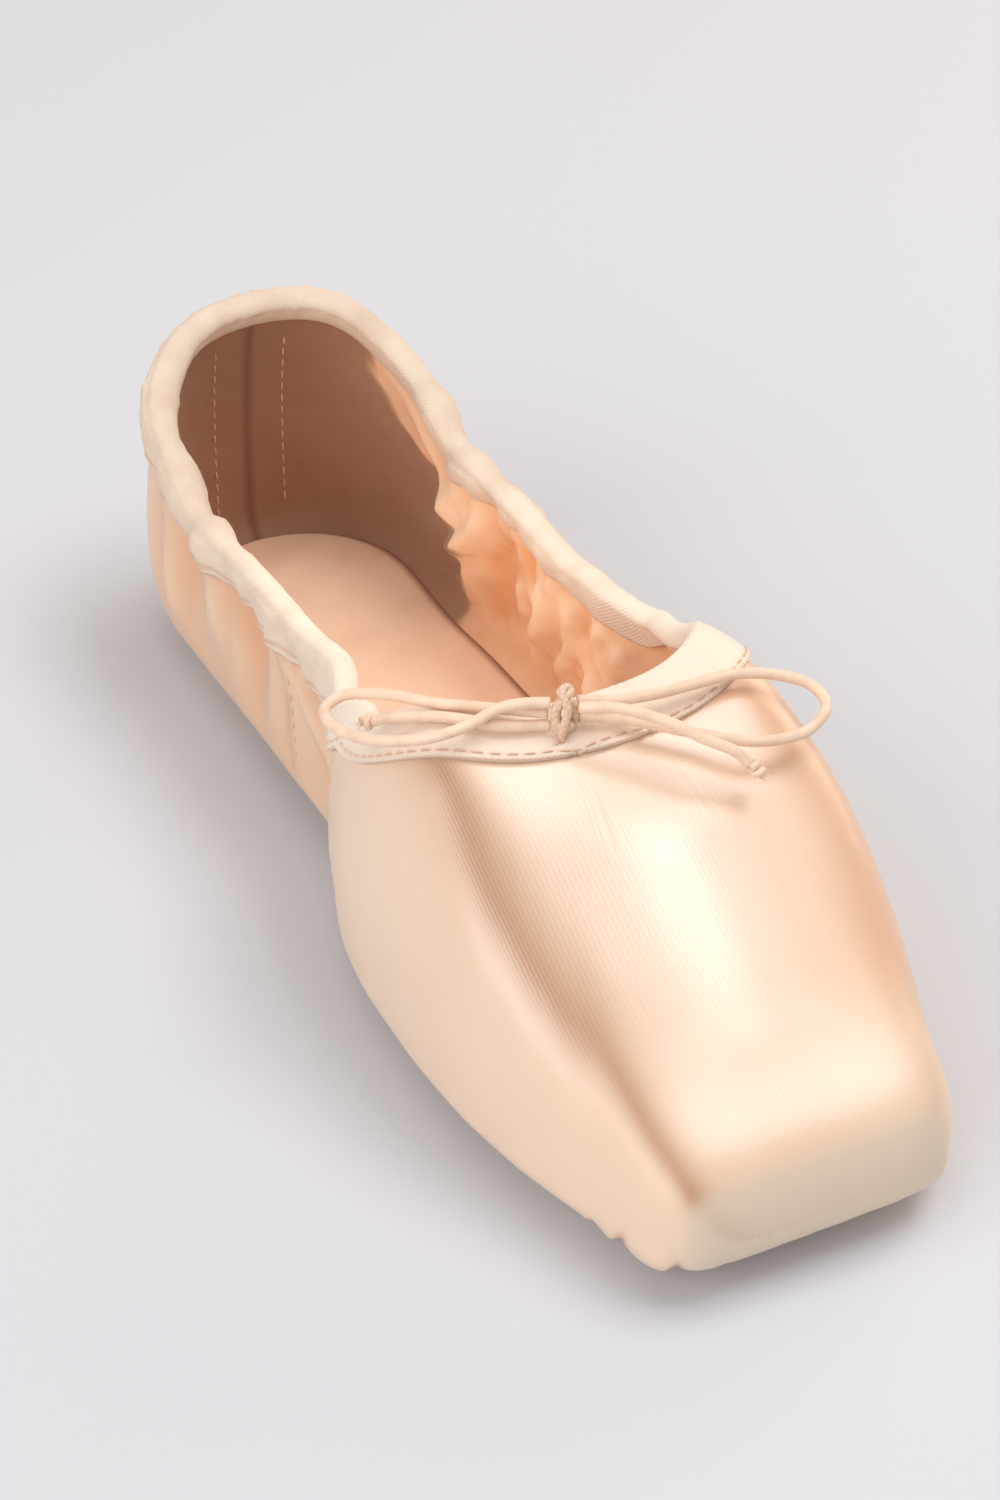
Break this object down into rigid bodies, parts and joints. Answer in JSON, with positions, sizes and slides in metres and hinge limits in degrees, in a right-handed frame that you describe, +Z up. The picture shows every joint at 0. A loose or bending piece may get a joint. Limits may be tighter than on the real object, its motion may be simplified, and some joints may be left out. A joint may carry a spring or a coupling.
{
  "type": "pointe shoe",
  "caption": "Ballet pointe shoe with a flat platform toe, stiff box, drawstring casing and small leather sole.",
  "frame": {"origin": "middle of the shoe's length and width, on the floor under the sole", "axes": "+Z up; +Y from the toe to the heel, so the platform faces -Y; +X across the shoe"},
  "size_m": [0.0858, 0.235, 0.0697],
  "materials": {
    "leather": "smooth split leather, dull",
    "satin": "peach satin over a stiffened canvas box",
    "lining": "pale peach cotton over the insole board",
    "tape": "cream cotton twill tape",
    "elastic": "thin covered elastic cord"
  },
  "bodies": {
    "root": {"outsole": "leather", "upper": "satin", "insole": "lining", "binding": "tape", "knot": "elastic", "loop_left": "elastic", "loop_right": "elastic", "end_left": "elastic", "end_right": "elastic"}
  },
  "joints": []
}
